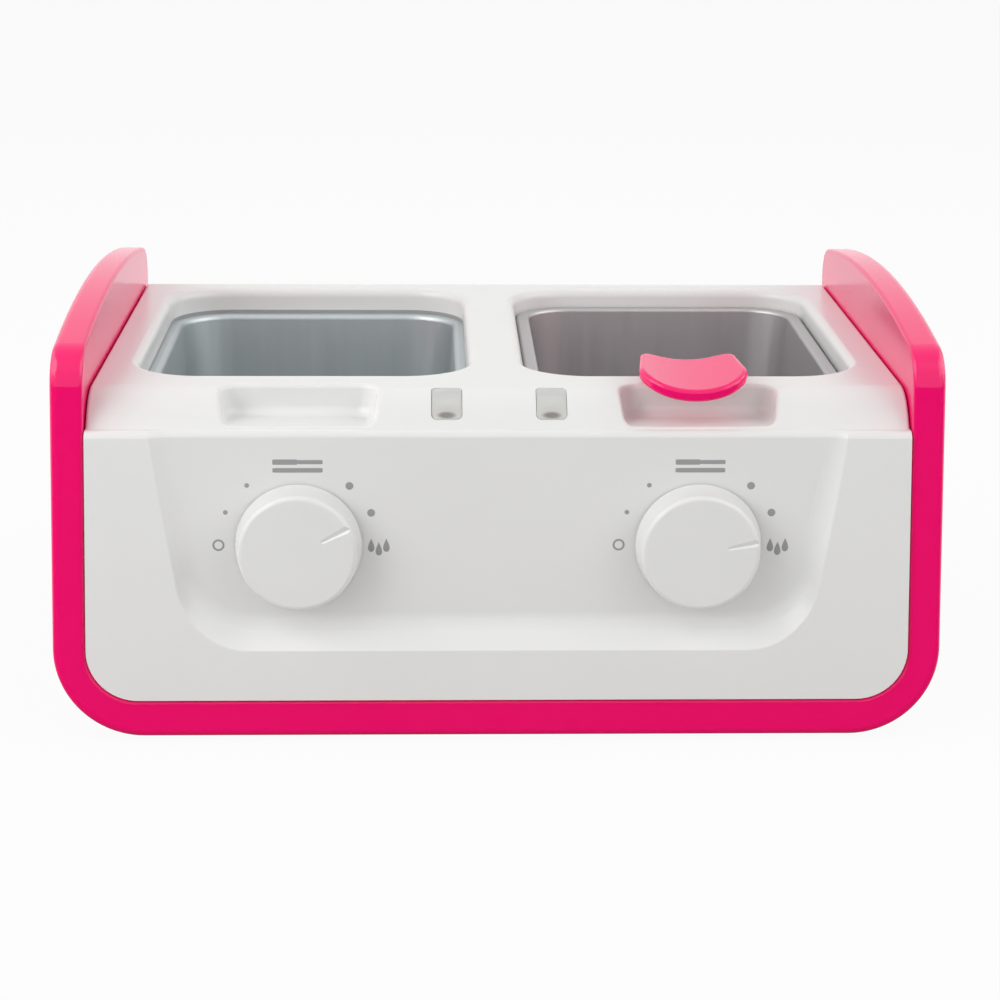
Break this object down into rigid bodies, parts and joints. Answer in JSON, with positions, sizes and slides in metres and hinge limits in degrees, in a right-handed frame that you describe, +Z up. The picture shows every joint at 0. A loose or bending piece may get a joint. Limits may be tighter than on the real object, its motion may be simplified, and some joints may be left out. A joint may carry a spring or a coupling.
{
  "type": "wax heater",
  "caption": "Counter-top wax heater with twin drawn wells, a lift-out pan, a thermostat dial for each well and arched side handles on a coloured cradle.",
  "frame": {"origin": "centre of the bounding box, on the floor below the feet", "axes": "+X to the user's right, +Y from the dials' side to the back, +Z up"},
  "size_m": [0.283, 0.2076, 0.1336],
  "materials": {
    "pink_plastic": "gloss",
    "white_plastic": "gloss",
    "holder_plastic": "matt",
    "well_metal": "satin",
    "clear_lens": "clear",
    "lamp_glass": "clear",
    "silicone": "matt",
    "steel": "plain",
    "mica": "matt",
    "wire_sleeve": "matt"
  },
  "bodies": {
    "housing": {"cradle": "pink_plastic", "front_panel": "white_plastic", "top_cover": "white_plastic", "rear_panel": "white_plastic", "lamp_holder_left": "holder_plastic", "lamp_holder_right": "holder_plastic", "terminal_block": "holder_plastic", "well_left": "well_metal", "well_right": "well_metal", "lens_left": "clear_lens", "lens_right": "clear_lens", "lamp_left": "lamp_glass", "lamp_right": "lamp_glass", "seal_left": "silicone", "seal_right": "silicone", "cord_gland": "silicone", "feet": "silicone", "base_screws": "steel", "clip_screws": "steel", "shield_screws": "steel", "strap_screws": "steel", "well_clips_left": "steel", "well_clips_right": "steel", "clamp_left": "steel", "clamp_right": "steel", "well_studs": "steel", "stud_nuts": "steel", "heat_shield": "steel", "strap_left": "steel", "strap_right": "steel", "heater_left": "mica", "heater_right": "mica", "fuse_left": "mica", "fuse_right": "mica", "thermostat_left": "mica", "thermostat_right": "mica", "live_wire_left": "wire_sleeve", "live_wire_right": "wire_sleeve", "load_wire_left": "wire_sleeve", "load_wire_right": "wire_sleeve", "neutral_wire_left": "wire_sleeve", "neutral_wire_right": "wire_sleeve"},
    "left_dial": {"knob_left": "white_plastic", "spindle_left": "steel"},
    "right_dial": {"knob_right": "white_plastic", "spindle_right": "steel"},
    "wax_pan": {"pan": "well_metal", "pan_handle": "pink_plastic", "handle_rivets": "well_metal"}
  },
  "joints": [
    {"name": "left_dial_turn", "type": "hinge", "parent": "housing", "child": "left_dial", "pos_m": [-0.0632, -0.09421, 0.0642], "axis": [0, 1, 0], "range_deg": [-154, 26]},
    {"name": "right_dial_turn", "type": "hinge", "parent": "housing", "child": "right_dial", "pos_m": [0.0632, -0.09421, 0.0642], "axis": [0, 1, 0], "range_deg": [-170, 10]},
    {"name": "pan_lift", "type": "slide", "parent": "housing", "child": "wax_pan", "axis": [0, 0, 1], "range_m": [0, 0.09]}
  ]
}
